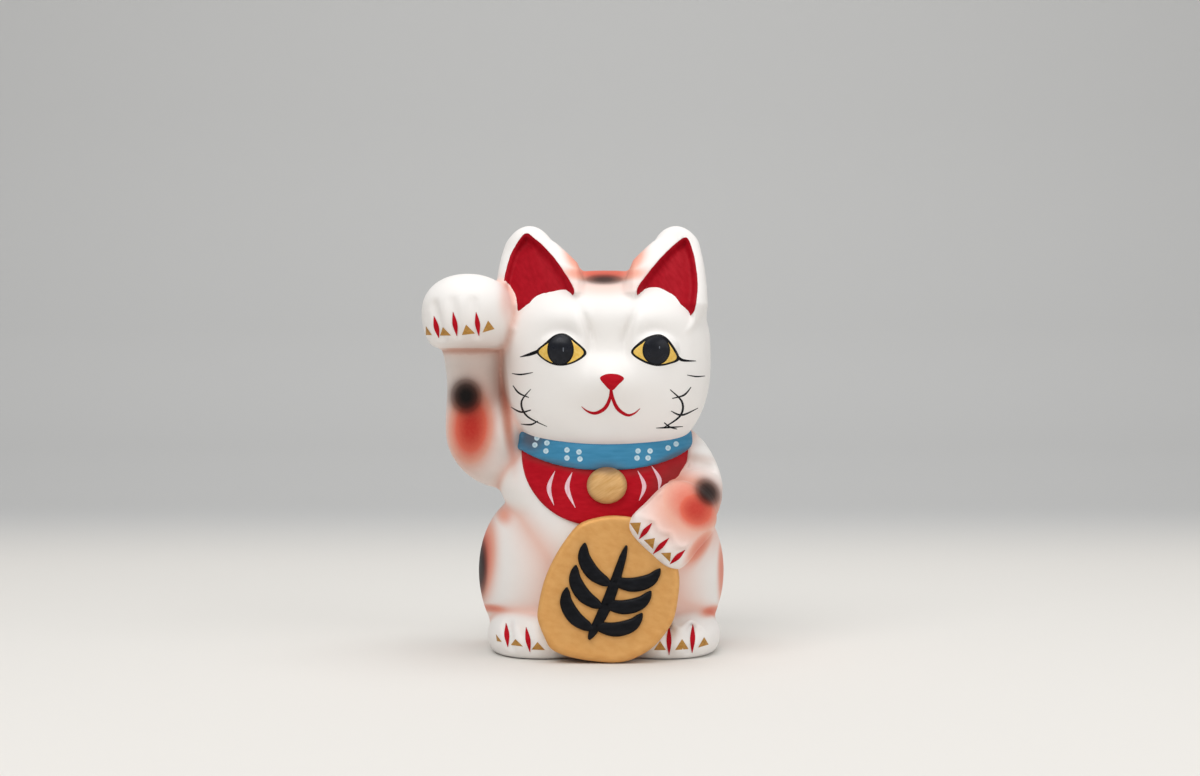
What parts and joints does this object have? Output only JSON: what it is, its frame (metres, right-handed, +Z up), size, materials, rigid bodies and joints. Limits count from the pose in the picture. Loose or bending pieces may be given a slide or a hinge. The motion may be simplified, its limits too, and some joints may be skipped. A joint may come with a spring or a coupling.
{
  "type": "money box",
  "caption": "Hollow pottery money box shaped as a seated beckoning cat with a raised paw, collar, bell and oval coin; coin slot behind the head, stopper in the base.",
  "frame": {"origin": "middle of the flat base, on the table plane", "axes": "+Z up, the cat faces -Y, its raised right paw is towards -X"},
  "size_m": [0.1436, 0.123, 0.1995],
  "materials": {
    "white_pottery": "matt white ground with airbrushed spots",
    "bare_pottery": "bare fired clay",
    "gold_painted_pottery": "satin gold paint",
    "blue_painted_pottery": "satin blue paint",
    "red_painted_pottery": "satin red paint",
    "stopper_rubber": "moulded soft rubber"
  },
  "bodies": {
    "cat": {"body_front_half": "white_pottery", "body_back_half": "white_pottery", "base_slab": "bare_pottery", "head_front_half": "white_pottery", "head_back_half": "white_pottery", "raised_forearm": "white_pottery", "raised_paw": "white_pottery", "holding_arm": "white_pottery", "koban_coin": "gold_painted_pottery", "collar_band": "blue_painted_pottery", "bib": "red_painted_pottery", "bell": "gold_painted_pottery", "tail": "white_pottery"},
    "stopper": {"stopper": "stopper_rubber"}
  },
  "joints": [
    {"name": "stopper_pull", "type": "slide", "parent": "cat", "child": "stopper", "axis": [0, 0, -1], "range_m": [0, 0.03]}
  ]
}
